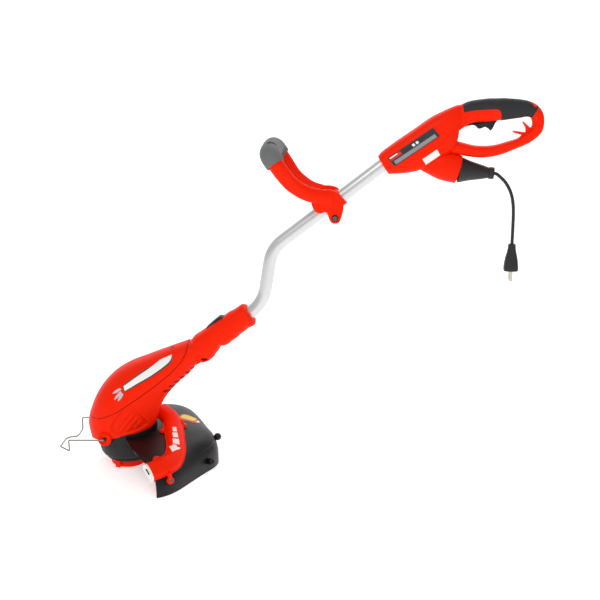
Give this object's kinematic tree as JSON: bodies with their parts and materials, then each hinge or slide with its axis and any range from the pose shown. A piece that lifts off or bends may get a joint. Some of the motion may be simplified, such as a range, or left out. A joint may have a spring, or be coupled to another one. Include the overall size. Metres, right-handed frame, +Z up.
{
  "type": "string trimmer",
  "caption": "Corded string trimmer with a bent silver boom, red swivelling motor head, black line guard, adjustable loop handle and a closed rear grip with trigger.",
  "frame": {"origin": "in the middle of the rear grip, where the rear hand holds the tool", "axes": "+X points from the cutting head back towards the rear handle, +Y to the tool's right-hand side, +Z up with the spool's axis vertical"},
  "size_m": [0.8898, 0.3273, 0.701],
  "materials": {
    "boom_aluminium": "satin anodised tube",
    "red_plastic": "red-orange moulded ABS, fine grain",
    "black_plastic": "black moulded polypropylene",
    "soft_black": "ribbed soft overmould",
    "soft_grey": "soft grey grip sleeve",
    "white_plastic": "plain white moulding",
    "zinc_steel": "zinc-plated steel",
    "guide_wire": "drawn steel wire, plated",
    "blade_steel": "ground blade steel",
    "lamination_steel": "stacked electrical steel",
    "copper_winding": "enamelled copper wire",
    "brass_contact": "turned contact metal",
    "carbon_brush": "pressed carbon",
    "nylon_line": "extruded nylon line",
    "cord_rubber": "black flexible sheath",
    "dark_label": "dark printed film label"
  },
  "bodies": {
    "frame": {"boom_collar": "red_plastic", "boom_tube": "boom_aluminium", "cord_retainer": "red_plastic", "grip_overmould": "soft_black", "handle_screw_1": "zinc_steel", "handle_screw_2": "zinc_steel", "inner_lead": "cord_rubber", "mains_plug": "cord_rubber", "power_cord": "cord_rubber", "rating_label": "dark_label", "rear_handle_left": "red_plastic", "rear_handle_right": "red_plastic", "strain_relief": "cord_rubber", "switch_block": "black_plastic", "trigger_pin": "zinc_steel", "trigger_spring": "zinc_steel"},
    "head": {"motor_cover": "red_plastic", "motor_housing_left": "red_plastic", "motor_housing_right": "red_plastic", "motor_screw_1": "zinc_steel", "motor_screw_2": "zinc_steel", "button_spring": "zinc_steel", "motor_base": "black_plastic", "motor_frame": "black_plastic", "stator_core": "lamination_steel", "field_coils": "copper_winding", "bearing_lower": "zinc_steel", "bearing_upper": "zinc_steel", "brush_front": "carbon_brush", "brush_rear": "carbon_brush", "guard": "black_plastic", "cutter_blade": "blade_steel", "duct_cover": "red_plastic", "nozzle_insert": "white_plastic", "duct_screw_1": "zinc_steel", "duct_screw_2": "zinc_steel", "duct_screw_3": "zinc_steel", "duct_screw_4": "zinc_steel", "guard_screw_1": "zinc_steel", "guard_screw_2": "zinc_steel", "guard_knob_1": "black_plastic", "guard_knob_2": "black_plastic"},
    "spool": {"motor_shaft": "zinc_steel", "armature": "copper_winding", "commutator": "brass_contact", "cooling_fan": "black_plastic", "spool_housing": "black_plastic", "spool": "black_plastic", "line_winding": "nylon_line", "spool_spring": "zinc_steel", "spool_cap": "red_plastic", "line_eyelet": "zinc_steel", "cutting_line": "nylon_line"},
    "edge_guide": {"edge_guide": "guide_wire"},
    "swivel_button": {"swivel_button": "black_plastic"},
    "trigger": {"trigger": "black_plastic"},
    "loop_handle": {"loop_handle": "red_plastic", "loop_grip": "soft_grey"},
    "clamp_knob": {"clamp_bolt": "zinc_steel", "clamp_knob": "black_plastic"}
  },
  "joints": [
    {"name": "head_swivel", "type": "hinge", "parent": "frame", "child": "head", "pos_m": [-0.42, 0, -0.357], "axis": [0.749, 0, 0.6626], "range_deg": [0, 180]},
    {"name": "spool_spin", "type": "hinge", "parent": "head", "child": "spool", "pos_m": [-0.684, 0, -0.623], "axis": [0, 0, 1], "continuous": true},
    {"name": "edge_guide_fold", "type": "hinge", "parent": "head", "child": "edge_guide", "pos_m": [-0.717, 0, -0.615], "axis": [0, 1, 0], "range_deg": [0, 60]},
    {"name": "swivel_release", "type": "slide", "parent": "head", "child": "swivel_button", "axis": [0.6626, 0, -0.749], "range_m": [0, 0.003], "stiffness_N_per_m": 400, "springref_m": -0.002, "deforming": ["button_spring"]},
    {"name": "trigger_squeeze", "type": "hinge", "parent": "frame", "child": "trigger", "pos_m": [-0.055, 0, -0.02], "axis": [0, -1, 0], "range_deg": [0, 8], "stiffness_Nm_per_rad": 0.6, "springref_deg": -6.88, "deforming": ["trigger_spring"]},
    {"name": "loop_tilt", "type": "hinge", "parent": "frame", "child": "loop_handle", "pos_m": [-0.288, 0, -0.193], "axis": [0, 1, 0], "range_deg": [-20, 20]},
    {"name": "clamp_turn", "type": "hinge", "parent": "frame", "child": "clamp_knob", "pos_m": [-0.288, 0, -0.193], "axis": [0, 1, 0], "range_deg": [0, 360]}
  ]
}
